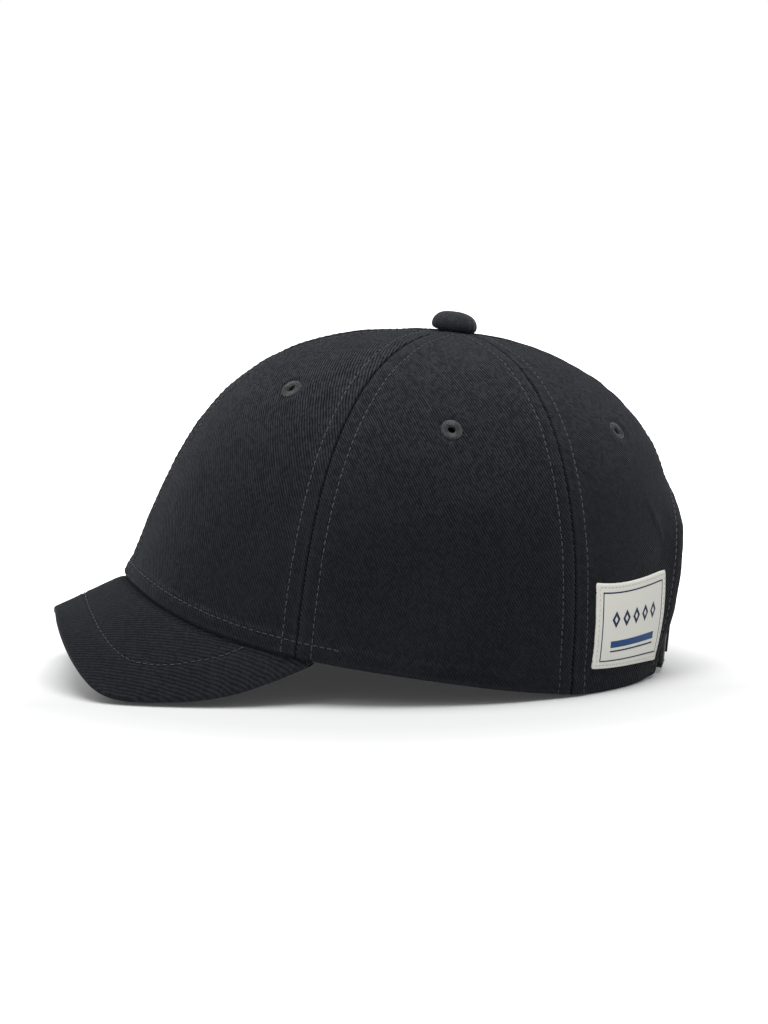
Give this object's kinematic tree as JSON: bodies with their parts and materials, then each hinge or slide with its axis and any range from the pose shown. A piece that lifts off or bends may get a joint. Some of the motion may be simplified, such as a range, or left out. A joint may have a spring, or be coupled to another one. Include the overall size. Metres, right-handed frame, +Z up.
{
  "type": "bump cap",
  "caption": "Short-peak bump cap: a twill baseball-style cap with rear strap and buckle, over a removable vented hard shell lined with foam pads.",
  "frame": {"origin": "on the plane the cap rests on, under the middle of its whole outline", "axes": "+Z up; -Y forward, the way the peak points; +X to the wearer's left; +Y to the rear closure"},
  "size_m": [0.1716, 0.234, 0.1356],
  "materials": {
    "black_twill": "cotton twill",
    "binding_tape": "plain-woven tape",
    "grey_thread": "satin-stitched thread",
    "sweatband_cotton": "brushed cotton",
    "woven_label": "damask-woven label",
    "peak_board_plastic": "moulded sheet",
    "rivet_metal": "as pressed",
    "buckle_metal": "antique nickel",
    "insert_abs": "fine moulded grain",
    "insert_foam": "closed-cell EVA foam",
    "loop_pile": "napped loop tape",
    "hook_tape": "moulded hook tape"
  },
  "bodies": {
    "insert": {"bump_shell": "insert_abs", "front_pad": "insert_foam", "left_pad": "insert_foam", "right_pad": "insert_foam", "rear_pad": "insert_foam", "crown_pad": "insert_foam", "hook_tabs": "hook_tape"},
    "cap": {"front_panel_left": "black_twill", "side_panel_left": "black_twill", "rear_panel_left": "black_twill", "rear_panel_right": "black_twill", "side_panel_right": "black_twill", "front_panel_right": "black_twill", "vent_eyelets": "grey_thread", "crown_button": "black_twill", "button_rivet": "rivet_metal", "button_backing": "binding_tape", "peak_top_cover": "black_twill", "peak_board": "peak_board_plastic", "peak_under_cover": "black_twill", "sweatband": "sweatband_cotton", "seam_tape_front": "binding_tape", "seam_tape_front_left": "binding_tape", "seam_tape_rear_left": "binding_tape", "seam_tape_rear": "binding_tape", "seam_tape_rear_right": "binding_tape", "seam_tape_front_right": "binding_tape", "rear_opening_binding": "binding_tape", "label_patch": "woven_label", "buckle_frame": "buckle_metal", "buckle_pin": "buckle_metal", "buckle_loop": "black_twill", "loop_tabs": "loop_pile"},
    "strap": {"rear_strap": "black_twill"},
    "clamp": {"buckle_clamp": "buckle_metal"}
  },
  "joints": [
    {"name": "cap_lift", "type": "slide", "parent": "insert", "child": "cap", "axis": [0, 0, 1], "range_m": [0, 0.115]},
    {"name": "strap_travel", "type": "hinge", "parent": "cap", "child": "strap", "pos_m": [0, 0.03784, 0.0136], "axis": [0, 0, 1], "range_deg": [-16, 16]},
    {"name": "clamp_lift", "type": "hinge", "parent": "cap", "child": "clamp", "pos_m": [0.02653, 0.11025, 0.01339], "axis": [-0.0291, -0.0952, -0.995], "range_deg": [0, 100]}
  ]
}
